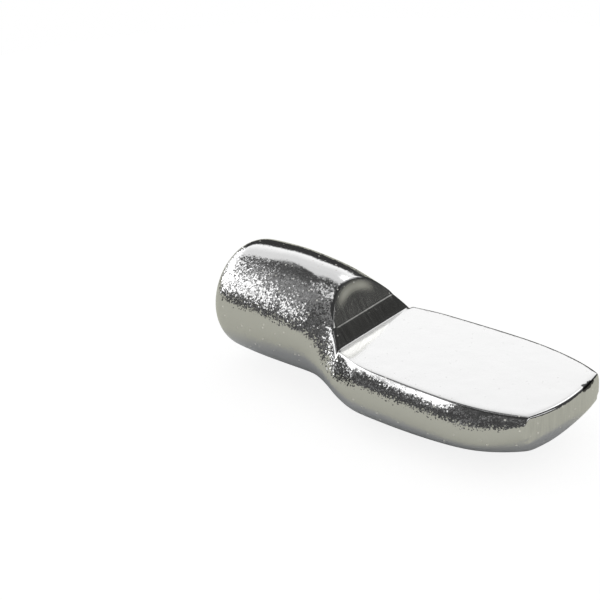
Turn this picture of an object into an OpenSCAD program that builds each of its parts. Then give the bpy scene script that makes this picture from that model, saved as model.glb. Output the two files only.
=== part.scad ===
// Spoon-style shelf support pin, cold formed from one length of round steel wire.
// The shank is pushed into a hole in the cabinet wall along X, and the shelf lies on the flat deck.
// The origin is on the shank's axis in the plane of the wall, where the shank ends and the neck starts.
// X points out of the wall and Z points up.

/* [Shank] */
// Diameter of the round shank
pin_d = 6.35; // [5:0.05:8]
// Length of the shank, from its free end to the wall
shank_len = 6.2; // [5:0.1:16]
// Radius of the rounded edge at the free end
end_round = 1.4; // [0.3:0.05:2]
// Length of shank next to the wall over which the forming punch draws its top down
draw_len = 3.2; // [1:0.1:4]
// Radius of the curve in which the shank's top is drawn down, seen from the side
draw_round = 22; // [12:0.5:40]

/* [Shoulder] */
// Slope of the shoulder face above the deck, in degrees
shoulder_angle = 62; // [45:1:80]
// Distance from the wall to the fold line, where the shoulder face meets the strip below it
fold_x = 2.16; // [1.8:0.02:3]
// Height of the fold line above the deck
fold_rise = 0.85; // [0.5:0.05:1.4]
// Slope of the strip below the fold line, in degrees
strip_angle = 51; // [40:1:80]
// Radius of the hollow where the strip runs out into the deck
foot_round = 0.2; // [0.1:0.05:1]

/* [Deck] */
// Height of the deck above the shank's axis
deck_rise = 0.1; // [-0.3:0.05:0.4]
// Length of the deck side, from the wall to the middle of the tip
spoon_len = 15.4; // [14:0.1:20]
// Width of the deck beside the shoulder
root_w = 7.2; // [6.6:0.05:8.5]
// Width of the deck at its widest
deck_w = 7.94; // [7:0.02:10]
// Distance from the wall to the widest part of the deck
widest_x = 9.8; // [7:0.1:11.5]
// Width of the deck across the corners of its tip
tip_w = 5.9; // [4:0.1:7]
// How far the edge of the tip bows out past its corners
tip_bow = 0.6; // [0.2:0.05:1]

/* [Belly] */
// Depth of the belly below the shank's axis, at its deepest
belly_depth = 3.85; // [3.4:0.05:4.6]
// Distance from the wall to the deepest part of the belly
deepest_x = 5.8; // [5:0.1:7.5]
// How far the sides swell out past the edge of the deck
side_swell = 0.52; // [0.2:0.02:0.8]
// Depth of the swollen sides' widest line below the deck
swell_drop = 1.7; // [1:0.05:2]
// How far the belly swells out past the middle of the tip, before the tip is sheared off
tip_swell = 0.1; // [0.05:0.01:0.4]
// Depth of the widest line below the deck at the middle of the tip
tip_drop = 0.45; // [0.3:0.05:1.2]
// Depth below the axis at the foot of the bow, where the belly turns up to the tip
bow_depth = 3.1; // [2.6:0.05:3.6]
// Distance from the tip back to the foot of the bow
bow_len = 2.5; // [2:0.1:4]
// Length of the neck over which the round shank grows into the belly
neck_len = 4.6; // [3.4:0.1:5]

/* [Hidden] */
$fn = 96;
// Extra reach that lets a cut run clear of the surface it cuts
overrun = 1;
pin_r = pin_d / 2;
corner_x = spoon_len - tip_bow;
tip_r = (tip_w * tip_w / 4 + tip_bow * tip_bow) / (2 * tip_bow);
tip_angle = asin(tip_w / 2 / tip_r);
bow_foot = spoon_len - bow_len;
// How far inside the shank the neck starts, and the share of the shank's radius that it has there
seat_len = 0.4;
seat_share = 0.99;
// Share of the spoon's length, from the deepest part on, after which the ribs start to fan out to the tip
fan_share = 0.55;
// Power of the curve by which the deck's sides close in towards the tip
taper_power = 2.3;
// Power of the curve by which the swollen sides give way to the tip
close_power = 1.8;
// Power of the curve by which the keel rises towards the bow
rise_power = 2;
// Numbers of ribs along the neck and side, and around the tip, and of points on each half rib
side_ribs = 30;
tip_ribs = 9;
rib_points = 22;

function ease(t) = let (s = max(0, min(1, t))) s * s * (3 - 2 * s);
function between(a, b, share) = a + (b - a) * share;

// Share of the change from round shank to full spoon at a distance x from the wall
function neck_share(x) = ease(x / neck_len);

// How far the top of the shank is drawn down at a distance x from the wall, at most to its axis
function sag(x) =
    let (run = max(0, min(draw_round, x + draw_len)))
    min(pin_r, draw_round - sqrt(draw_round * draw_round - run * run));

// Half the deck's width at a distance x from the wall
function deck_half(x) =
    x < widest_x
        ? between(root_w, deck_w, ease(x / widest_x)) / 2
        : between(deck_w, tip_w, pow((x - widest_x) / (corner_x - widest_x), taper_power)) / 2;

// Depth of the full spoon's keel below the axis at a distance x from the wall
function keel_depth(x) =
    between(belly_depth, bow_depth, pow(max(0, x - deepest_x) / (bow_foot - deepest_x), rise_power));

// Place on the keel that the rib through an edge point at x starts from
fan_x = between(deepest_x, spoon_len, fan_share);
function keel_x(x) =
    x < fan_x ? x : between(fan_x, bow_foot, sin(90 * (x - fan_x) / (spoon_len - fan_x)));

// Points of the deck's edge on one side, from inside the shank to the middle of the tip
side_xs = [for (i = [0 : side_ribs - 1]) between(-seat_len, corner_x, i / side_ribs)];
tip_turns = [for (i = [0 : tip_ribs]) tip_angle * (1 - i / tip_ribs)];
edge = concat(
    [for (x = side_xs) [x, deck_half(x)]],
    [for (t = tip_turns) [spoon_len - tip_r * (1 - cos(t)), tip_r * sin(t)]]
);

// Reach to the side and height of the drawn shank's outline, for a turn from 90 at its top to -90 at its foot
function shank_point(x, turn) =
    let (
        corner = asin(sag(x) / pin_d),
        a = between(corner, 90, abs(turn) / 90),
        rise = turn > 0 ? pin_r * sin(a) - sag(x) : -pin_r * sin(a)
    )
    [pin_r * cos(a), rise];

// The same for the full spoon's outline below the deck, with its reach counted from the keel
function spoon_point(reach, swell, drop, depth, turn) =
    let (
        mid_z = deck_rise - drop,
        up = drop / sqrt(1 - pow(reach / (reach + swell), 2)),
        rise = turn > 0 ? up : depth + mid_z
    )
    [(reach + swell) * cos(turn), mid_z + rise * sin(turn)];

// One half rib: from the top, round the swollen side, to the keel
function half_rib(e) =
    let (
        kx = keel_x(e.x),
        reach = norm([e.x - kx, e.y]),
        dir = [e.x - kx, e.y] / reach,
        fan = max(0, e.x - fan_x) / (spoon_len - fan_x),
        closing = pow(fan, close_power),
        swell = between(side_swell, tip_swell, closing),
        drop = between(swell_drop, tip_drop, closing)
    )
    [for (j = [0 : rib_points])
        let (
            turn = 90 - 180 * j / rib_points,
            seat = shank_point(e.x, turn) * seat_share,
            full = spoon_point(reach, swell, drop, keel_depth(kx), turn),
            p = between(seat, full, neck_share(e.x))
        )
        [kx + dir.x * p.x, dir.y * p.x, p.y]];

// The belly is skinned over its ribs. Each ring is a half rib and its mirror image, and the last is the stem.
module belly() {
    ribs = [for (e = edge) half_rib(e)];
    rings = len(ribs) - 1;
    ring_size = 2 * rib_points;
    stem = ribs[rings];
    ring_points = [
        for (i = [0 : rings - 1]) each concat(
            ribs[i],
            [for (j = [rib_points - 1 : -1 : 1]) [ribs[i][j].x, -ribs[i][j].y, ribs[i][j].z]]
        )
    ];
    stem_start = rings * ring_size;
    stem_points = [for (p = stem) [p.x, 0, p.z]];
    function at(i, j) =
        let (k = (j + ring_size) % ring_size)
        i < rings ? i * ring_size + k : stem_start + (k <= rib_points ? k : ring_size - k);
    skin = [
        for (i = [0 : rings - 1], j = [0 : ring_size - 1])
            let (a = at(i, j), b = at(i, j + 1), c = at(i + 1, j + 1), d = at(i + 1, j))
            each [[a, b, c], [a, c, d]]
    ];
    back = [[for (j = [ring_size - 1 : -1 : 0]) at(0, j)]];
    polyhedron(concat(ring_points, stem_points), concat(skin, back), convexity = 6);
}

// Shank with its rounded free end, along X up to the wall
module round_shank() {
    translate([-shank_len, 0, 0])
        rotate([0, 90, 0])
            rotate_extrude() {
                translate([0, end_round])
                    square([pin_r, shank_len - end_round]);
                square([pin_r - end_round, shank_len]);
                translate([pin_r - end_round, end_round])
                    intersection() {
                        circle(end_round);
                        translate([0, -end_round])
                            square(end_round);
                    }
            }
}

// What the punch draws down from the top of the shank: all that lies above the same round bent downwards
module drawn_top() {
    bend_r = draw_round - pin_r;
    translate([-draw_len, 0, 0])
        difference() {
            translate([0, -pin_d, -pin_r / 2])
                cube([draw_len + overrun, 2 * pin_d, pin_d]);
            translate([0, 0, -bend_r])
                rotate([90, 0, 0])
                    rotate_extrude()
                        translate([bend_r, 0])
                            circle(pin_r);
        }
}

// Side view of the punch that forms the shoulder face, the strip, the hollow and the deck
module punch_outline() {
    top_z = pin_r + overrun;
    fold_z = deck_rise + fold_rise;
    foot_x = fold_x + fold_rise / tan(strip_angle);
    foot_reach = foot_round * tan(strip_angle / 2);
    end_x = spoon_len + side_swell + overrun;
    hollow_x = foot_x + foot_reach;
    difference() {
        polygon([
            [fold_x - (top_z - fold_z) / tan(shoulder_angle), top_z],
            [fold_x, fold_z],
            [foot_x, deck_rise],
            [end_x, deck_rise],
            [end_x, top_z]
        ]);
        difference() {
            polygon([
                [foot_x, deck_rise],
                [hollow_x, deck_rise],
                [foot_x - foot_reach * cos(strip_angle), deck_rise + foot_reach * sin(strip_angle)]
            ]);
            translate([hollow_x, deck_rise + foot_round])
                circle(foot_round);
        }
    }
}

module punch() {
    punch_w = deck_w + 2 * side_swell + 2 * overrun;
    translate([0, punch_w / 2, 0])
        rotate([90, 0, 0])
            linear_extrude(punch_w)
                punch_outline();
}

// What is sheared off in front of the tip, straight down from the edge of the deck
module tip_waste() {
    waste_h = belly_depth + pin_d;
    translate([0, 0, -belly_depth - overrun])
        difference() {
            translate([fan_x, -deck_w, 0])
                cube([spoon_len, 2 * deck_w, waste_h]);
            translate([spoon_len - tip_r, 0, -overrun])
                cylinder(r = tip_r, h = waste_h + 2 * overrun);
        }
}

module support_pin() {
    color("silver")
        difference() {
            union() {
                difference() {
                    round_shank();
                    drawn_top();
                }
                belly();
            }
            punch();
            tip_waste();
        }
}

support_pin();
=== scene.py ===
import math
from collections import namedtuple

import bmesh
import bpy
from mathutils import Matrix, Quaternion, Vector


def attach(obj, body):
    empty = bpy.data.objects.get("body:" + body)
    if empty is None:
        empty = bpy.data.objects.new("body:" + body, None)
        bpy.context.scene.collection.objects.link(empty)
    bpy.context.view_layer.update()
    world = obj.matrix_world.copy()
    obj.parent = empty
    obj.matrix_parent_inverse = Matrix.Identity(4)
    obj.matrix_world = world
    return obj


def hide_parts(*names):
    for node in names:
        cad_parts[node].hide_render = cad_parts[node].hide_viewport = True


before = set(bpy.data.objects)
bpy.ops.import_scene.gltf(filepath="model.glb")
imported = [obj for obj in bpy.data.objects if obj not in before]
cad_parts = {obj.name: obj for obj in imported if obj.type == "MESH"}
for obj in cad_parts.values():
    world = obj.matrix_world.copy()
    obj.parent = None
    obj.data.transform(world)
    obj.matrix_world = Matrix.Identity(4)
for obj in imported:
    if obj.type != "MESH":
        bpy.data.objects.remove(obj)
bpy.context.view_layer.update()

MM = 0.001
UP = math.pi / 2

# Sizes of the shank. Its free end is a hair inside the solid's.
PIN_R = 3.175
SHANK_LEN = 6.195
END_ROUND = 1.4
DRAW_LEN = 3.2
DRAW_ROUND = 22.0
# How far the shank tapers over a short length before its free end
CROWN = 0.1
CROWN_LEN = 2.4

# Sizes of the shoulder face, the strip below it and the deck
SHOULDER_SLOPE = math.radians(62)
STRIP_SLOPE = math.radians(51)
FOLD_X = 2.16
FOLD_RISE = 0.85
FOOT_ROUND = 0.08
DECK_Z = 0.1
SPOON_LEN = 15.4
ROOT_W = 7.2
DECK_W = 7.94
WIDEST_X = 9.8
TIP_W = 5.9
TIP_BOW = 0.6
TAPER_POWER = 2.3
# Height above the fold line at which the rim hands over to the deck's edge line
RIM_LAP = 0.25
# Width and drop of the narrow ledge on the fold line, and the distance from it of the rows that keep it crisp
LEDGE_W = 0.088
LEDGE_DROP = 0.048
FOLD_HOLD = 0.05
# How far the strip bulges out between the fold and its foot
STRIP_BULGE = 0.03
# How far the far corner of the tip stands out past the near one
TIP_SKEW = 0.28

# Sizes of the belly
BELLY_DEPTH = 3.85
DEEPEST_X = 5.8
SIDE_SWELL = 0.52
SWELL_DROP = 1.7
TIP_SWELL = 0.1
TIP_DROP = 0.45
BOW_DEPTH = 3.1
BOW_LEN = 2.5
NECK_LEN = 4.6
FAN_SHARE = 0.55
CLOSE_POWER = 1.8

# The waist beside the strip: the shares by which the near and the far side are pinched in, where it ends
# along the deck, and the heights at which it starts, is full, stops being full and ends
NEAR_PINCH = 0.135
FAR_PINCH = 0.02
PINCH_END = 5.4
PINCH_HEIGHTS = (-1.8, -0.25, 1.2, 2.4)

# Widths of the rounding along the deck's edges, the edge of the tip and the tip's corners
EDGE_ROUND = 0.08
TIP_ROUND = 0.2
CORNER_ROUND = 0.12
# Number of rings over which the rounding of the deck's edges grows from the foot of the strip on
EDGE_FADE_RINGS = 5
# Crispness of the shoulder's rim, which fades to none beside the foot of the strip
RIM_CREASE = 0.3

# Worked out from the sizes above
FOLD_Z = DECK_Z + FOLD_RISE
CORNER_X = SPOON_LEN - TIP_BOW
TIP_R = (TIP_W ** 2 / 4 + TIP_BOW ** 2) / (2 * TIP_BOW)
TIP_MIDDLE_X = SPOON_LEN - TIP_R
TIP_ANGLE = math.asin(TIP_W / 2 / TIP_R)
BOW_FOOT = SPOON_LEN - BOW_LEN
FAN_X = DEEPEST_X + (SPOON_LEN - DEEPEST_X) * FAN_SHARE
FOOT_X = FOLD_X + FOLD_RISE / math.tan(STRIP_SLOPE)
RIM_END_Z = FOLD_Z + RIM_LAP

# Columns of the skin on each half: across the top, down the upper side or the tip's front, and on to the keel
TOP_COLUMNS = 6
FRONT_COLUMNS = 4
LOWER_COLUMNS = 6
COLUMNS = 2 * (TOP_COLUMNS + FRONT_COLUMNS + LOWER_COLUMNS)
TOP_SHARES = [i / TOP_COLUMNS for i in range(TOP_COLUMNS)]
FRONT_SHARE = FRONT_COLUMNS / (FRONT_COLUMNS + LOWER_COLUMNS)
FRONT_FOOT = TOP_COLUMNS + FRONT_COLUMNS

# Rings of the skin: round the free end, along the shank, in the hollow, along the deck and round the tip
END_RINGS = 6
SHANK_RINGS = 16
HOLLOW_RINGS = 2
DECK_RINGS = 17
TIP_RINGS = 7
# Shares of the way from the rim's end down to the fold at which the shoulder face has a ring
FACE_SHARES = (0.35, 0.7)
# Distance from the hollow of the ring that keeps the strip's foot crisp, and room for rounding the corners
FOOT_HOLD = 0.15
CORNER_GAP = 0.6
# Points nearer to each other than this are welded
WELD_GAP = 0.0005

Rib = namedtuple("Rib", "foot depth reach along swell drop")


def ease(t):
    t = min(1, max(0, t))
    return t * t * (3 - 2 * t)


def between(a, b, share):
    return a + (b - a) * share


def steps(a, b, count):
    """Evenly spaced values after a, up to and with b."""
    return [between(a, b, (i + 1) / count) for i in range(count)]


def solve(low, high, rises):
    """The place between low and high where a rising function passes zero."""
    halvings = 50
    for _ in range(halvings):
        middle = (low + high) / 2
        if rises(middle) < 0:
            low = middle
        else:
            high = middle
    return low


def sag(x):
    """How far the top of the shank is drawn down at a distance x from the wall."""
    run = min(DRAW_ROUND, max(0, x + DRAW_LEN))
    return min(PIN_R, DRAW_ROUND - math.sqrt(DRAW_ROUND ** 2 - run ** 2))


def deck_half(x):
    """Half the deck's width at a distance x from the wall."""
    if x < WIDEST_X:
        return between(ROOT_W, DECK_W, ease(x / WIDEST_X)) / 2
    return between(DECK_W, TIP_W, ((x - WIDEST_X) / (CORNER_X - WIDEST_X)) ** TAPER_POWER) / 2


def shank_outline(x, turn):
    """Reach to the side and height on the drawn shank, for a turn from straight up to straight down."""
    corner = math.asin(sag(x) / (2 * PIN_R))
    angle = between(corner, UP, abs(turn) / UP)
    rise = PIN_R * math.sin(angle)
    return Vector((PIN_R * math.cos(angle), rise - sag(x) if turn > 0 else -rise))


def rib(x, half):
    """The rib through an edge point: foot on the keel, the keel's depth, reach, direction, swell and drop."""
    foot = x
    if x > FAN_X:
        foot = between(FAN_X, BOW_FOOT, math.sin(UP * (x - FAN_X) / (SPOON_LEN - FAN_X)))
    run = max(0, foot - DEEPEST_X) / (BOW_FOOT - DEEPEST_X)
    depth = between(BELLY_DEPTH, BOW_DEPTH, run * run)
    along = Vector((x - foot, half))
    closing = (max(0, x - FAN_X) / (SPOON_LEN - FAN_X)) ** CLOSE_POWER
    swell = between(SIDE_SWELL, TIP_SWELL, closing)
    drop = between(SWELL_DROP, TIP_DROP, closing)
    return Rib(foot, depth, along.length, along.normalized(), swell, drop)


def skin_point(x, turn, half=None):
    """A point of the outside skin on the rib through the edge point at x, at a turn from up to down."""
    at = rib(x, deck_half(x) if half is None else half)
    middle = DECK_Z - at.drop
    up = at.drop / math.sqrt(1 - (at.reach / (at.reach + at.swell)) ** 2)
    rise = up if turn > 0 else at.depth + middle
    full = Vector(((at.reach + at.swell) * math.cos(turn), middle + rise * math.sin(turn)))
    out, z = shank_outline(x, turn).lerp(full, ease(x / NECK_LEN))
    return Vector((at.foot + at.along.x * out, at.along.y * out, z))


def turn_at(x, z, half=None):
    """The turn at which the rib through x is at a height z."""
    return solve(-UP, UP, lambda turn: skin_point(x, turn, half).z - z)


def front_foot_turn(x, half):
    """The turn at which a rib comes back to its own edge line, where the tip's sheared front ends."""
    at = rib(x, half)
    return -math.acos(at.reach / (at.reach + at.swell))


def side_of(x, z):
    """The half ring below the edge line: from a height z on the rib through x down to the keel."""
    first = turn_at(x, z)
    side_split = between(first, -UP, FRONT_SHARE)
    corner_turn = front_foot_turn(CORNER_X, TIP_W / 2)
    split = between(side_split, corner_turn, ease((x - WIDEST_X) / (CORNER_X - WIDEST_X)))
    turns = [first] + steps(first, split, FRONT_COLUMNS) + steps(split, -UP, LOWER_COLUMNS)
    return [skin_point(x, turn) for turn in turns]


def pressed_ring(x, z):
    """A half ring with a straight line across the pressed top, at a height z, and the skin below it."""
    side = side_of(x, z)
    middle = Vector((rib(x, deck_half(x)).foot, 0, z))
    return [middle.lerp(side[0], share) for share in TOP_SHARES] + side


def pinched(p, share):
    """A point moved towards the middle by the waist that the punch leaves beside the strip."""
    along = ease(p.x / FOLD_X) - ease((p.x - FOLD_X) / (PINCH_END - FOLD_X))
    low, full_low, full_high, high = PINCH_HEIGHTS
    height = ease((p.z - low) / (full_low - low)) * ease((high - p.z) / (high - full_high))
    return Vector((p.x, p.y * (1 - share * along * height), p.z))


def shoulder_x(z):
    """Distance from the wall of the shoulder face at a height z."""
    return FOLD_X - (z - FOLD_Z) / math.tan(SHOULDER_SLOPE)


def top_point(x, share):
    """A point on the round top of the shank, at a share of the way from its middle to the edge line."""
    return skin_point(x, between(UP, turn_at(x, RIM_END_Z), share))


def crowned(p, start):
    """A point of the shank, moved in by the taper before the free end."""
    near_end = max(0, 1 - (p.x - start) / CROWN_LEN)
    scale = 1 - CROWN / PIN_R * near_end ** 2
    return Vector((p.x, p.y * scale, p.z * scale))


def shank_rings():
    """Half rings from the free end's middle along the shank to the rim of the shoulder."""
    start = END_ROUND - SHANK_LEN
    ends = [solve(0, FOLD_X, lambda x: x - shoulder_x(top_point(x, share).z)) for share in TOP_SHARES]
    side_end = shoulder_x(RIM_END_Z)
    rings = []
    for share in [0] + steps(0, 1, SHANK_RINGS):
        top = [top_point(between(start, end, share), at) for end, at in zip(ends, TOP_SHARES)]
        side = side_of(between(start, side_end, share), RIM_END_Z)
        rings.append([crowned(p, start) for p in top + side])
    flat_r = PIN_R - END_ROUND
    rounding = []
    for i in range(END_RINGS):
        angle = UP * i / END_RINGS
        scale = (flat_r + END_ROUND * math.sin(angle)) / PIN_R
        x = start - END_ROUND * math.cos(angle)
        rounding.append([Vector((x, p.y * scale, p.z * scale)) for p in rings[0]])
    inner = [Vector((p.x, p.y / 2, p.z / 2)) for p in rounding[0]]
    return [inner] + rounding + rings


def shoulder_rings(rim):
    """Half rings down the shoulder face, over the fold, down the strip and round its hollow to the deck."""
    fold = pressed_ring(FOLD_X, FOLD_Z)
    rings = []
    for share in FACE_SHARES:
        z = between(RIM_END_Z, FOLD_Z, share)
        face = [a.lerp(b, share) for a, b in zip(rim[:TOP_COLUMNS], fold)]
        rings.append(face + side_of(shoulder_x(z), z))
    rings.append(pressed_ring(shoulder_x(FOLD_Z + FOLD_HOLD), FOLD_Z + FOLD_HOLD))
    rings.append(fold)
    ledge_x = FOLD_X + LEDGE_W
    ledge_z = FOLD_Z - LEDGE_DROP
    rings.append(pressed_ring(ledge_x, ledge_z))
    rings.append(pressed_ring(ledge_x + FOLD_HOLD / math.tan(STRIP_SLOPE), ledge_z - FOLD_HOLD))
    rings.append(pressed_ring((ledge_x + FOOT_X) / 2 + STRIP_BULGE, (ledge_z + DECK_Z) / 2))
    hollow_x = FOOT_X + FOOT_ROUND * math.tan(STRIP_SLOPE / 2)
    for angle in [STRIP_SLOPE] + steps(STRIP_SLOPE, 0, HOLLOW_RINGS):
        x = hollow_x - FOOT_ROUND * math.sin(angle)
        rings.append(pressed_ring(x, DECK_Z + FOOT_ROUND * (1 - math.cos(angle))))
    return rings


def past_shear(p):
    """How far a point lies past the tip's sheared front, which goes straight down from the deck's edge."""
    return math.hypot(p.x - TIP_MIDDLE_X, p.y) - TIP_R


def corner_edge(z):
    """The point of the tip's corner at a height z, where the swollen side meets the sheared front."""
    x = solve(WIDEST_X, CORNER_X, lambda at: past_shear(skin_point(at, turn_at(at, z))))
    return skin_point(x, turn_at(x, z))


def front_ring(x, half, at_corner):
    """A half ring at the tip: across the deck, down the sheared front and on under the bow."""
    foot_turn = front_foot_turn(x, half)
    edge = Vector((x, half, DECK_Z))
    front_foot = skin_point(x, foot_turn, half)
    levels = steps(DECK_Z, front_foot.z, FRONT_COLUMNS)
    front = [corner_edge(z) if at_corner else Vector((x, half, z)) for z in levels]
    lower = [skin_point(x, turn, half) for turn in steps(foot_turn, -UP, LOWER_COLUMNS)]
    middle = Vector((rib(x, half).foot, 0, DECK_Z))
    return [middle.lerp(edge, share) for share in TOP_SHARES] + [edge] + front + lower


def deck_rings(hollow_end):
    """Half rings from the end of the hollow along the deck, up to the tip's corners."""
    start = hollow_end + FOOT_HOLD
    xs = [start] + steps(start, CORNER_X - CORNER_GAP, DECK_RINGS)
    return [pressed_ring(x, DECK_Z) for x in xs]


def tip_rings():
    """Half rings from the tip's corners round the tip to the stem."""
    rings = [front_ring(CORNER_X, TIP_W / 2, True)]
    for angle in steps(TIP_ANGLE, 0, TIP_RINGS):
        rings.append(front_ring(TIP_MIDDLE_X + TIP_R * math.cos(angle), TIP_R * math.sin(angle), False))
    return rings


def skewed(p):
    """A point of the far half, moved out by the slight skew of the sheared tip."""
    near_tip = ease((p.x - FAN_X) / (CORNER_X - FAN_X))
    return Vector((p.x + TIP_SKEW * near_tip * (p.y / (TIP_W / 2)) ** 2, p.y, p.z))


def whole_ring(half):
    """Both halves of a ring, from the top round the far side and back up the near side."""
    far = [skewed(pinched(p, FAR_PINCH)) for p in half]
    near = [pinched(Vector((p.x, -p.y, p.z)), NEAR_PINCH) for p in half[-2:0:-1]]
    return far + near


def lay_rings(pin, halves):
    """Extrudes one ring of points along the pin, laying each new ring on the next section."""
    mesh = bmesh.from_edit_mesh(pin.data)
    column_of = mesh.verts.layers.int.new("column")
    ring_of = mesh.verts.layers.int.new("ring")
    mesh.verts.ensure_lookup_table()
    for i, vert in enumerate(mesh.verts):
        vert[column_of] = i
    for ring, half in enumerate(halves):
        if ring > 0:
            bpy.ops.mesh.extrude_region_move()
            mesh = bmesh.from_edit_mesh(pin.data)
            column_of = mesh.verts.layers.int["column"]
            ring_of = mesh.verts.layers.int["ring"]
        points = whole_ring(half)
        for vert in [v for v in mesh.verts if v.select]:
            vert.co = points[vert[column_of]] * MM
            vert[ring_of] = ring
        bmesh.update_edit_mesh(pin.data)


def close_ends():
    """Welds the last ring, which folds shut along the stem, and fills the first to close the free end."""
    bpy.ops.mesh.select_all(action="SELECT")
    bpy.ops.mesh.remove_doubles(threshold=WELD_GAP * MM)
    bpy.ops.mesh.select_all(action="DESELECT")
    bpy.ops.mesh.select_non_manifold()
    bpy.ops.mesh.edge_face_add()
    bpy.ops.mesh.poke()
    bpy.ops.mesh.select_all(action="SELECT")
    bpy.ops.mesh.normals_make_consistent(inside=False)


def folded(column):
    """The column of the far half that a column is, or mirrors."""
    return min(column, COLUMNS - column)


def mark_pressed(pin, rim_ring):
    """Marks what the punch pressed, for the plate's material."""
    mesh = bmesh.from_edit_mesh(pin.data)
    column_of = mesh.verts.layers.int["column"]
    ring_of = mesh.verts.layers.int["ring"]
    pressed_by_punch = mesh.verts.layers.float.new("pressed")
    for vert in mesh.verts:
        inside = vert[ring_of] > rim_ring and folded(vert[column_of]) < TOP_COLUMNS
        vert[pressed_by_punch] = 1 if inside else 0
    bmesh.update_edit_mesh(pin.data)


def mark_edges(pin, rim_ring, deck_ring, corner_ring):
    """Sets the width of rounding of the deck's edges and the tip's corners, and how crisp the rim stays."""
    mesh = bmesh.from_edit_mesh(pin.data)
    column_of = mesh.verts.layers.int["column"]
    ring_of = mesh.verts.layers.int["ring"]
    easing = mesh.edges.layers.float.new("bevel_weight_edge")
    crispness = mesh.edges.layers.float.new("crease_edge")
    edge_line = [TOP_COLUMNS, TOP_COLUMNS]
    front_foot_line = [FRONT_FOOT, FRONT_FOOT]
    for edge in mesh.edges:
        rings = sorted(v[ring_of] for v in edge.verts)
        spots = sorted(folded(v[column_of]) for v in edge.verts)
        width = 0
        if rings == [rim_ring, rim_ring] and spots[1] <= TOP_COLUMNS:
            edge[crispness] = RIM_CREASE
        elif rings[0] >= corner_ring and spots == edge_line:
            width = TIP_ROUND
        elif rings[0] >= deck_ring and spots == edge_line:
            width = EDGE_ROUND * ease((rings[0] + 1 - deck_ring) / EDGE_FADE_RINGS)
        elif rings[0] >= rim_ring and spots == edge_line:
            past_rim = (rings[0] - rim_ring) / (deck_ring - 1 - rim_ring)
            edge[crispness] = between(RIM_CREASE, 0, ease(past_rim))
        elif rings == [corner_ring, corner_ring] and TOP_COLUMNS <= spots[0] < FRONT_FOOT - 1:
            width = CORNER_ROUND
        elif rings[0] >= corner_ring and spots == front_foot_line:
            width = CORNER_ROUND
        edge[easing] = width / TIP_ROUND
    bmesh.update_edit_mesh(pin.data)


def make_pin():
    """The pin's skin, laid ring by ring from the free end to the tip, with its edges eased, then smoothed."""
    before_rim = shank_rings()
    pressed = shoulder_rings(before_rim[-1])
    deck = deck_rings(pressed[-1][TOP_COLUMNS].x)
    rim_ring = len(before_rim) - 1
    deck_ring = len(before_rim) + len(pressed)
    corner_ring = deck_ring + len(deck)

    bpy.ops.object.select_all(action="DESELECT")
    bpy.ops.mesh.primitive_circle_add(vertices=COLUMNS, radius=PIN_R * MM)
    pin = bpy.context.object
    pin.name = "plated_pin"
    bpy.ops.object.mode_set(mode="EDIT")
    lay_rings(pin, before_rim + pressed + deck + tip_rings())
    close_ends()
    mark_pressed(pin, rim_ring)
    mark_edges(pin, rim_ring, deck_ring, corner_ring)
    bpy.ops.object.mode_set(mode="OBJECT")

    easing = pin.modifiers.new("easing", "BEVEL")
    easing.limit_method = "WEIGHT"
    easing.width = TIP_ROUND * MM
    easing.use_clamp_overlap = False
    easing.segments = 2
    bpy.ops.object.modifier_apply(modifier=easing.name)
    skin = pin.modifiers.new("skin", "SUBSURF")
    skin.levels = 2
    skin.render_levels = 2
    bpy.ops.object.modifier_apply(modifier=skin.name)
    bpy.ops.object.shade_smooth()
    return pin


# Sizes of the plate's patterns in millimetres. The grain and the torn lines are finer on the real pin, and
# are drawn as coarse as they need to be to show in the picture.
WAVE_SIZE = 1.3
WAVE_HEIGHT = 0.01
GRAIN_SIZE = 0.075
LINE_SIZE = 0.09
SPECK_SPACING = 0.45
# Lean of the few facets that stand out, on the plain surface and on what the punch pressed, the share of it
# on what faces upwards, and the lean of every facet on the shank's rough upper side
LONE_LEAN = 0.7
PRESSED_LEAN = 0.05
UPWARD_SHARE = 0.2
ROUGH_LEAN = 0.3
# Roughness of the bright plate, and of the rough upper side and the torn face
BRIGHT_ROUGHNESS = 0.09
DULL_ROUGHNESS = 0.2
# Shades of the darkest and the lightest torn line, the share of them on the tip's front, and the level of the
# painted shade at the strip's foot
DARK_LINE = 0.82
LIGHT_LINE = 1.14
FRONT_LINES = 0.3
PAINTED_FOOT_SHADE = 0.5
# Distances from the wall between which the torn face gives way to the deck, its dullness fades out along the
# deck, and the tip's front starts
FACE_END = 2.7
DECK_START = 2.9
DULL_FULL = 2.8
DULL_END = 3.2
FRONT_START = 14.0
FRONT_FULL = 14.5
# Share of the pale specks that shows on the plain surface and on what the punch pressed
PLAIN_SPECKS = 0.8
PRESSED_SPECKS = 0.12
# Middle of the chip in the tip's edge, how it is drawn out along that edge, its greatest reach, the
# width of its border, the size of the border's rags, and how dark it is
CHIP_MIDDLE = (15.29, 1.75, 0.05)
CHIP_STRETCH = (1.3, 0.42, 1.3)
CHIP_REACH = 0.5
CHIP_BORDER = 0.06
CHIP_RAG_SIZE = 0.3
CHIP_SHADE = 0.06
# Middle of the dull crescent, the distances from there at which it ends and is full, the distances from the
# axis at which it starts and is full, and its strength
CRESCENT_MIDDLE = (1.4, 0.05, 2.5)
CRESCENT_END = 2.0
CRESCENT_FULL = 0.7
CRESCENT_START_R = 1.8
CRESCENT_FULL_R = 2.36
CRESCENT_SHARE = 0.95


def linear(code):
    """A linear colour from an sRGB hex code."""
    parts = [int(code[i:i + 2], 16) / 255 for i in (1, 3, 5)]
    return tuple(p / 12.92 if p <= 0.04045 else ((p + 0.055) / 1.055) ** 2.4 for p in parts) + (1,)


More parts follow.
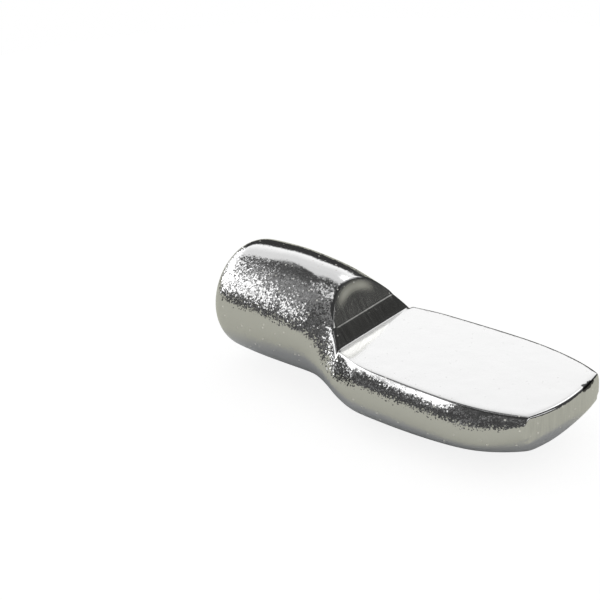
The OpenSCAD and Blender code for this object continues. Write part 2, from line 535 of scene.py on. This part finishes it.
def add(tree, kind, sockets=None, **settings):
    """Adds a node with its settings. A socket is given by name or place, and takes a value, an output or
    a node, which stands for its first output."""
    made = tree.nodes.new(kind)
    for name, value in settings.items():
        setattr(made, name, value)
    for key, value in (sockets or {}).items():
        if isinstance(value, bpy.types.Node):
            value = value.outputs[0]
        if isinstance(value, bpy.types.NodeSocket):
            tree.links.new(value, made.inputs[key])
        else:
            made.inputs[key].default_value = value
    return made


def per_mm(size):
    """Scale of a pattern whose features are a given size in millimetres."""
    return 1 / (size * MM)


def empty_tree(block):
    block.use_nodes = True
    block.node_tree.nodes.clear()
    return block.node_tree


def rough_upper_side(tree, place, facing_up):
    """One on the shank's upper side behind the shoulder face, zero on its top, underneath and elsewhere."""
    into_face = (-math.sin(SHOULDER_SLOPE), 0.0, -math.cos(SHOULDER_SLOPE))
    face_depth = Vector(into_face).dot(Vector((FOLD_X, 0, FOLD_Z)))
    depth = add(tree, "ShaderNodeVectorMath", {0: place, 1: into_face}, operation="DOT_PRODUCT")
    on_shank = add(tree, "ShaderNodeMapRange", {
        "Value": depth.outputs["Value"],
        "From Min": (face_depth + 0.05) * MM,
        "From Max": (face_depth + 0.3) * MM,
    })
    not_low = add(tree, "ShaderNodeMapRange", {"Value": facing_up, "From Min": 0.2, "From Max": 0.5})
    not_top = add(tree, "ShaderNodeMapRange", {"Value": facing_up, "From Min": 0.95, "From Max": 0.85})
    upper = add(tree, "ShaderNodeMath", {0: not_low, 1: not_top}, operation="MULTIPLY")
    return add(tree, "ShaderNodeMath", {0: upper, 1: on_shank}, operation="MULTIPLY")


def grain(tree, place, facing_up, pressed, rough):
    """The plate's small facets, each tilted its own way, over the slow waves that the forming left."""
    waves = add(tree, "ShaderNodeTexNoise", {"Vector": place, "Scale": per_mm(WAVE_SIZE), "Detail": 2})
    wavy = add(tree, "ShaderNodeBump", {"Height": waves, "Strength": 1.0, "Distance": WAVE_HEIGHT * MM})
    facets = add(tree, "ShaderNodeTexVoronoi", {"Vector": place, "Scale": per_mm(GRAIN_SIZE)})
    no_lean = (0.5, 0.5, 0.5)
    lean = add(tree, "ShaderNodeVectorMath", {0: facets.outputs["Color"], 1: no_lean}, operation="SUBTRACT")
    # The third power leaves most facets nearly level, so that few stand out
    squared = add(tree, "ShaderNodeVectorMath", {0: lean, 1: lean}, operation="MULTIPLY")
    lone = add(tree, "ShaderNodeVectorMath", {0: squared, 1: lean}, operation="MULTIPLY")
    # The punch smoothed what it pressed, and what faces upwards is smoother than the sides
    unpressed = add(tree, "ShaderNodeMapRange", {
        "Value": pressed,
        "To Min": LONE_LEAN,
        "To Max": PRESSED_LEAN,
    })
    sideways = add(tree, "ShaderNodeMapRange", {
        "Value": facing_up,
        "From Min": 0.3,
        "From Max": 0.5,
        "To Min": 1.0,
        "To Max": UPWARD_SHARE,
    })
    lone_tilt = add(tree, "ShaderNodeMath", {0: unpressed, 1: sideways}, operation="MULTIPLY")
    lone_lean = add(tree, "ShaderNodeVectorMath", {0: lone, "Scale": lone_tilt}, operation="SCALE")
    # On the rough upper side every facet leans
    rough_tilt = add(tree, "ShaderNodeMath", {0: rough, 1: ROUGH_LEAN}, operation="MULTIPLY")
    rough_lean = add(tree, "ShaderNodeVectorMath", {0: lean, "Scale": rough_tilt}, operation="SCALE")
    tilted = add(tree, "ShaderNodeVectorMath", {0: lone_lean, 1: rough_lean}, operation="ADD")
    leaning = add(tree, "ShaderNodeVectorMath", {0: wavy, 1: tilted}, operation="ADD")
    return add(tree, "ShaderNodeVectorMath", {0: leaning}, operation="NORMALIZE")


def torn_lines(tree, place, face, front):
    """Shade of the torn lines, which run down the shoulder face, the strip and the tip's front."""
    across = add(tree, "ShaderNodeVectorMath", {0: place, 1: (0.06, 1.0, 0.06)}, operation="MULTIPLY")
    lines = add(tree, "ShaderNodeTexNoise", {"Vector": across, "Scale": per_mm(LINE_SIZE), "Detail": 3})
    torn = add(tree, "ShaderNodeMapRange", {
        "Value": lines,
        "From Min": 0.35,
        "From Max": 0.65,
        "To Min": DARK_LINE,
        "To Max": LIGHT_LINE,
    })
    front_share = add(tree, "ShaderNodeMath", {0: front, 1: FRONT_LINES}, operation="MULTIPLY")
    torn_share = add(tree, "ShaderNodeMath", {0: face, 1: front_share}, operation="MAXIMUM")
    return add(tree, "ShaderNodeMix", {0: torn_share, 2: 1.0, 3: torn})


def edge_chip(tree, place):
    """Shade of the chip out of the plating, which runs along the edge of the tip."""
    middle = [size * MM for size in CHIP_MIDDLE]
    beside = add(tree, "ShaderNodeVectorMath", {0: place, 1: middle}, operation="SUBTRACT")
    drawn_out = add(tree, "ShaderNodeVectorMath", {0: beside, 1: CHIP_STRETCH}, operation="MULTIPLY")
    distance = add(tree, "ShaderNodeVectorMath", {0: drawn_out}, operation="LENGTH")
    ragged = add(tree, "ShaderNodeTexNoise", {"Vector": place, "Scale": per_mm(CHIP_RAG_SIZE), "Detail": 2})
    rag = add(tree, "ShaderNodeMath", {0: ragged, 1: CHIP_REACH * MM}, operation="MULTIPLY")
    reach = add(tree, "ShaderNodeMath", {0: distance.outputs["Value"], 1: rag}, operation="ADD")
    return add(tree, "ShaderNodeMapRange", {
        "Value": reach,
        "From Min": CHIP_REACH * MM,
        "From Max": (CHIP_REACH + CHIP_BORDER) * MM,
        "To Min": CHIP_SHADE,
        "To Max": 1.0,
    })


def plate_colour(tree, place, at, facing, face):
    """The nickel's grey, a touch warmer on the face, with torn lines, the chip and painted shade at the
    strip's foot.
    """
    forward = add(tree, "ShaderNodeMapRange", {
        "Value": facing.outputs["X"],
        "From Min": 0.5,
        "From Max": 0.7,
    })
    at_tip = add(tree, "ShaderNodeMapRange", {
        "Value": at.outputs["X"],
        "From Min": FRONT_START * MM,
        "From Max": FRONT_FULL * MM,
    })
    front = add(tree, "ShaderNodeMath", {0: forward, 1: at_tip}, operation="MULTIPLY")
    lined = torn_lines(tree, place, face, front)
    chip = edge_chip(tree, place)
    # Painted shade: the strip's colour grows darker towards its foot, standing in for the darker reflection
    # there
    painted_shade_by_height = add(tree, "ShaderNodeMapRange", {
        "Value": at.outputs["Z"],
        "From Min": DECK_Z * MM,
        "From Max": FOLD_Z * MM,
        "To Min": PAINTED_FOOT_SHADE,
        "To Max": 1.0,
    })
    painted_strip_shade = add(tree, "ShaderNodeMix", {0: face, 2: 1.0, 3: painted_shade_by_height})
    marked = add(tree, "ShaderNodeMath", {0: lined, 1: chip}, operation="MULTIPLY")
    # The torn lines and the chip, times the painted shade on the strip
    shade = add(tree, "ShaderNodeMath", {0: marked, 1: painted_strip_shade}, operation="MULTIPLY")
    greys = {0: face, 6: linear("#D3D3D3"), 7: linear("#D3D3CF")}
    metal = add(tree, "ShaderNodeMix", greys, data_type="RGBA")
    return add(tree, "ShaderNodeVectorMath", {0: metal.outputs[2], "Scale": shade}, operation="SCALE")


def with_specks(tree, place, pressed, plate):
    """The plate with sparse pale specks of dull nickel, fewer where the punch pressed it."""
    spots = add(tree, "ShaderNodeTexVoronoi", {"Vector": place, "Scale": per_mm(SPECK_SPACING)})
    spot = add(tree, "ShaderNodeMapRange", {"Value": spots, "From Min": 0.14, "From Max": 0.08})
    kept = add(tree, "ShaderNodeMapRange", {
        "Value": pressed,
        "To Min": PLAIN_SPECKS,
        "To Max": PRESSED_SPECKS,
    })
    speck = add(tree, "ShaderNodeMath", {0: spot, 1: kept}, operation="MULTIPLY")
    dull = add(tree, "ShaderNodeBsdfDiffuse", {"Color": linear("#F4F3EC")})
    return add(tree, "ShaderNodeMixShader", {0: speck, 1: plate, 2: dull})


def with_crescent(tree, place, face, plate):
    """The plate with a dull crescent under the top of the shoulder's rim, where the punch tore the metal."""
    off_axis = add(tree, "ShaderNodeVectorMath", {0: place, 1: (0.0, 1.0, 1.0)}, operation="MULTIPLY")
    from_axis = add(tree, "ShaderNodeVectorMath", {0: off_axis}, operation="LENGTH")
    by_rim = add(tree, "ShaderNodeMapRange", {
        "Value": from_axis.outputs["Value"],
        "From Min": CRESCENT_START_R * MM,
        "From Max": CRESCENT_FULL_R * MM,
    }, interpolation_type="SMOOTHSTEP")
    middle = [size * MM for size in CRESCENT_MIDDLE]
    from_top = add(tree, "ShaderNodeVectorMath", {0: place, 1: middle}, operation="DISTANCE")
    near_top = add(tree, "ShaderNodeMapRange", {
        "Value": from_top.outputs["Value"],
        "From Min": CRESCENT_END * MM,
        "From Max": CRESCENT_FULL * MM,
        "To Max": CRESCENT_SHARE,
    }, interpolation_type="SMOOTHSTEP")
    under_rim = add(tree, "ShaderNodeMath", {0: by_rim, 1: near_top}, operation="MULTIPLY")
    crescent = add(tree, "ShaderNodeMath", {0: under_rim, 1: face}, operation="MULTIPLY")
    torn_metal = add(tree, "ShaderNodeBsdfDiffuse", {"Color": linear("#E4E4D6")})
    return add(tree, "ShaderNodeMixShader", {0: crescent, 1: plate, 2: torn_metal})


def nickel_plate():
    """Bright nickel plated over cold-formed steel wire: a grey mirror, broken up by its grain on the shank's
    upper side, smooth on the deck, and dark, lined and duller where the punch tore the shoulder face."""
    material = bpy.data.materials.new("bright_nickel_plate")
    tree = empty_tree(material)
    coordinates = add(tree, "ShaderNodeTexCoord")
    place = coordinates.outputs["Object"]
    at = add(tree, "ShaderNodeSeparateXYZ", {0: place})
    facing = add(tree, "ShaderNodeSeparateXYZ", {0: coordinates.outputs["Normal"]})
    facing_up = facing.outputs["Z"]

    # The pressed surface is the shoulder face with its strip, up to the foot, and the deck beyond
    pressed = add(tree, "ShaderNodeAttribute", attribute_name="pressed").outputs["Fac"]
    beyond = add(tree, "ShaderNodeMapRange", {
        "Value": at.outputs["X"],
        "From Min": FACE_END * MM,
        "From Max": DECK_START * MM,
    })
    deck = add(tree, "ShaderNodeMath", {0: pressed, 1: beyond}, operation="MULTIPLY")
    face = add(tree, "ShaderNodeMath", {0: pressed, 1: deck}, operation="SUBTRACT")

    # The dullness of the torn face runs out a little way along the deck
    rough = rough_upper_side(tree, place, facing_up)
    by_foot = add(tree, "ShaderNodeMapRange", {
        "Value": at.outputs["X"],
        "From Min": DULL_END * MM,
        "From Max": DULL_FULL * MM,
    })
    torn_face = add(tree, "ShaderNodeMath", {0: pressed, 1: by_foot}, operation="MULTIPLY")
    duller = add(tree, "ShaderNodeMath", {0: rough, 1: torn_face}, operation="MAXIMUM")
    dullness = add(tree, "ShaderNodeMapRange", {
        "Value": duller,
        "To Min": BRIGHT_ROUGHNESS,
        "To Max": DULL_ROUGHNESS,
    })
    plate = add(tree, "ShaderNodeBsdfPrincipled", {
        "Base Color": plate_colour(tree, place, at, facing, face),
        "Metallic": 1.0,
        "Roughness": dullness,
        "Normal": grain(tree, place, facing_up, pressed, rough),
    })
    specked = with_specks(tree, place, pressed, plate)
    add(tree, "ShaderNodeOutputMaterial", {"Surface": with_crescent(tree, place, face, specked)})
    return material


# Radius, number of sides and middle of the round table, and half the length and width of the painted oval
# shadow on it
TABLE_R = 60
TABLE_SIDES = 96
TABLE_X = 4.8
PAINTED_SHADOW_HALF_LEN = 10.6
PAINTED_SHADOW_HALF_W = 4.5
# Share and strength of the glow that makes the table as white as the world around it to the camera
GLOW_SHARE = 0.65
GLOW_STRENGTH = 1.28


def white_table():
    """Matt white card. Only the camera sees it as bright as the white around it, and from below the camera
    sees through it. In the plate's mirror it is a warmer white, with a cool, oval painted shadow under the
    pin."""
    material = bpy.data.materials.new("white_table")
    tree = empty_tree(material)
    seen = add(tree, "ShaderNodeLightPath").outputs["Is Camera Ray"]
    place = add(tree, "ShaderNodeTexCoord").outputs["Object"]
    oval_scale = (per_mm(PAINTED_SHADOW_HALF_LEN), per_mm(PAINTED_SHADOW_HALF_W), 0.0)
    oval = add(tree, "ShaderNodeVectorMath", {0: place, 1: oval_scale}, operation="MULTIPLY")
    spread = add(tree, "ShaderNodeVectorMath", {0: oval}, operation="LENGTH")
    # Painted shadow: in the plate's mirror the table is a cool grey in an oval under the pin, for the pin's
    # shadow there
    clear_of_painted_shadow = add(tree, "ShaderNodeMapRange", {
        "Value": spread.outputs["Value"],
        "From Min": 0.95,
        "From Max": 1.45,
    }, interpolation_type="SMOOTHSTEP")
    whites_with_painted_shadow = {0: clear_of_painted_shadow, 6: linear("#D6D8DA"), 7: linear("#EFEFE0")}
    mirrored = add(tree, "ShaderNodeMix", whites_with_painted_shadow, data_type="RGBA")
    shown = {0: seen, 6: mirrored.outputs[2], 7: linear("#ECECEC")}
    colour = add(tree, "ShaderNodeMix", shown, data_type="RGBA")
    matt = add(tree, "ShaderNodeBsdfDiffuse", {"Color": colour.outputs[2]})
    glow_share = add(tree, "ShaderNodeMath", {0: seen, 1: GLOW_SHARE}, operation="MULTIPLY")
    glow = add(tree, "ShaderNodeEmission", {"Strength": GLOW_STRENGTH})
    glowing = add(tree, "ShaderNodeMixShader", {0: glow_share, 1: matt, 2: glow})
    from_below = add(tree, "ShaderNodeNewGeometry").outputs["Backfacing"]
    clear_share = add(tree, "ShaderNodeMath", {0: seen, 1: from_below}, operation="MULTIPLY")
    clear = add(tree, "ShaderNodeBsdfTransparent")
    one_sided = add(tree, "ShaderNodeMixShader", {0: clear_share, 1: glowing, 2: clear})
    add(tree, "ShaderNodeOutputMaterial", {"Surface": one_sided})
    return material


def make_table():
    """The round table that the belly touches. It ends a little way off, where the tent's dark gap begins."""
    bpy.ops.object.select_all(action="DESELECT")
    middle = (TABLE_X * MM, 0, -BELLY_DEPTH * MM)
    bpy.ops.mesh.primitive_circle_add(vertices=TABLE_SIDES, radius=TABLE_R * MM, fill_type="NGON",
                                      location=middle)
    table = bpy.context.object
    table.name = "table"
    table.data.materials.append(white_table())


# Level of the tent between its panels, and of the even light on what is not a mirror
GAP_LEVEL = 0.05
EVEN_LEVEL = 0.67
# Direction of the dark opening in the wall
OPENING = (-0.557, -0.02, 0.83)


def light_tent():
    """A light tent as the plate shows it: a white wall on the left and behind with a dark opening high up, a
    lamp low on the left, narrow white panels in front, dim, patchy stretches between them, and dark gaps,
    mostly on the right. The camera sees plain white, and the table gets an even light."""
    world = bpy.data.worlds.new("light_tent")
    bpy.context.scene.world = world
    tree = empty_tree(world)
    aim = add(tree, "ShaderNodeTexCoord").outputs["Generated"]
    parts = add(tree, "ShaderNodeSeparateXYZ", {0: aim})
    height = parts.outputs["Z"]
    left = add(tree, "ShaderNodeMath", {0: parts.outputs["X"], 1: -1.0}, operation="MULTIPLY")
    # Zero on the left, a quarter turn behind the pin, and less than zero in front of it
    bearing = add(tree, "ShaderNodeMath", {0: parts.outputs["Y"], 1: left}, operation="ARCTAN2")

    def panel(low, high, start, end, soft, level):
        """A stretch of the tent between two heights and two bearings in degrees, with soft edges."""
        lit = level
        for value, first, last in ((height, low, high), (bearing, math.radians(start), math.radians(end))):
            for inner, outer in ((first + soft, first - soft), (last - soft, last + soft)):
                edge = add(tree, "ShaderNodeMapRange", {"Value": value, "From Min": outer, "From Max": inner},
                           interpolation_type="SMOOTHSTEP")
                lit = add(tree, "ShaderNodeMath", {0: edge, 1: lit}, operation="MULTIPLY")
        return lit

    # The wall is brightest at its foot, and the opening cuts a round dark hole out of it
    wall_level = add(tree, "ShaderNodeMapRange", {
        "Value": height,
        "From Min": 0.44,
        "From Max": 0.64,
        "To Min": 1.46,
        "To Max": 1.05,
    })
    to_opening = add(tree, "ShaderNodeVectorMath", {0: aim, 1: OPENING}, operation="DOT_PRODUCT")
    closed = add(tree, "ShaderNodeMapRange", {
        "Value": to_opening.outputs["Value"],
        "From Min": 0.972,
        "From Max": 0.955,
    }, interpolation_type="SMOOTHSTEP")
    open_wall = add(tree, "ShaderNodeMath", {0: wall_level, 1: closed}, operation="MULTIPLY")
    # The dim stretches are patchy, or dark with a few dots
    patches = add(tree, "ShaderNodeTexNoise", {"Vector": aim, "Scale": 18, "Detail": 2})
    patchy = add(tree, "ShaderNodeMapRange", {
        "Value": patches,
        "From Min": 0.5,
        "From Max": 0.66,
        "To Min": 0.11,
        "To Max": 0.95,
    })
    dotted = add(tree, "ShaderNodeMapRange", {
        "Value": patches,
        "From Min": 0.55,
        "From Max": 0.68,
        "To Min": 0.07,
        "To Max": 0.5,
    })
    mirrored = GAP_LEVEL
    for stretch in (
        # The white wall on the left and behind, which the deck and the light band show, and its upper part
        panel(0.385, 0.78, -15, 92, 0.04, open_wall),
        panel(0.7, 0.9, 40, 96, 0.04, 1.0),
        # The wall's bright end, which the deck shows by way of the face, and the grey that the ledge shows
        panel(0.6, 0.78, 76, 94, 0.05, 2.5),
        panel(0.5, 0.8, 94, 110, 0.06, 0.6),
        # The dim parts behind on the right: low, for the shoulder face, and above the dark gap
        panel(-0.3, 0.4, 112, 170, 0.1, 0.08),
        panel(0.55, 0.75, 108, 150, 0.12, 0.09),
        # The patchy stretches in front, and the dotted ones high on the left and low in front
        panel(0.29, 1.01, -52.5, -15, 0.02, patchy),
        panel(0.62, 1.01, -95, -50, 0.03, patchy),
        panel(0.7, 1.01, -20, 60, 0.03, dotted),
        panel(-0.15, 0.45, -118, -35, 0.03, dotted),
        # The white panels in front, which make the white band along the side
        panel(0.24, 0.5, -64, -52, 0.02, 2.0),
        panel(0.27, 0.47, -50.5, -38, 0.02, 1.8),
        # The lamp low on the left, which the free end shows, and the panel beside it for the grain
        panel(0.08, 0.45, -30, 30, 0.05, 3.0),
        panel(0.2, 0.62, -41, -15, 0.04, 2.0),
        # White panels on the right and straight above, which show from other sides
        panel(0.08, 0.46, -184, -126, 0.05, 1.2),
        panel(0.27, 0.5, 146, 184, 0.05, 1.2),
        panel(0.985, 1.1, -200, 200, 0.004, 1.2),
    ):
        mirrored = add(tree, "ShaderNodeMath", {0: mirrored, 1: stretch}, operation="MAXIMUM")

    path = add(tree, "ShaderNodeLightPath")
    level = add(tree, "ShaderNodeMix", {0: path.outputs["Is Glossy Ray"], 2: EVEN_LEVEL, 3: mirrored})
    final = add(tree, "ShaderNodeMix", {0: path.outputs["Is Camera Ray"], 2: level, 3: 1.0})
    light = add(tree, "ShaderNodeBackground", {"Color": linear("#FFFFFF"), "Strength": final})
    add(tree, "ShaderNodeOutputWorld", {"Surface": light})


def make_camera():
    """The photograph's view: from the near side and the tip's end, a little above the deck."""
    azimuth = math.radians(38.57)
    elevation = math.radians(26.64)
    roll = math.radians(-1.03)
    aim = Vector((-0.075, -2.436, 1.962)) * MM
    distance = 126.66 * MM
    data = bpy.data.cameras.new("camera")
    data.lens = 144
    data.sensor_width = 36
    data.clip_start = 10 * MM
    data.clip_end = 10
    camera = bpy.data.objects.new("camera", data)
    bpy.context.scene.collection.objects.link(camera)
    back = Vector((
        math.sin(azimuth) * math.cos(elevation),
        -math.cos(azimuth) * math.cos(elevation),
        math.sin(elevation),
    ))
    camera.location = aim + back * distance
    level = (-back).to_track_quat("-Z", "Y")
    camera.rotation_mode = "QUATERNION"
    camera.rotation_quaternion = level @ Quaternion((0, 0, 1), roll)
    bpy.context.scene.camera = camera


pin = make_pin()
pin.data.materials.append(nickel_plate())
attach(pin, "root")
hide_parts("support_pin")
make_table()
light_tent()
make_camera()
bpy.context.scene.view_settings.view_transform = "Standard"
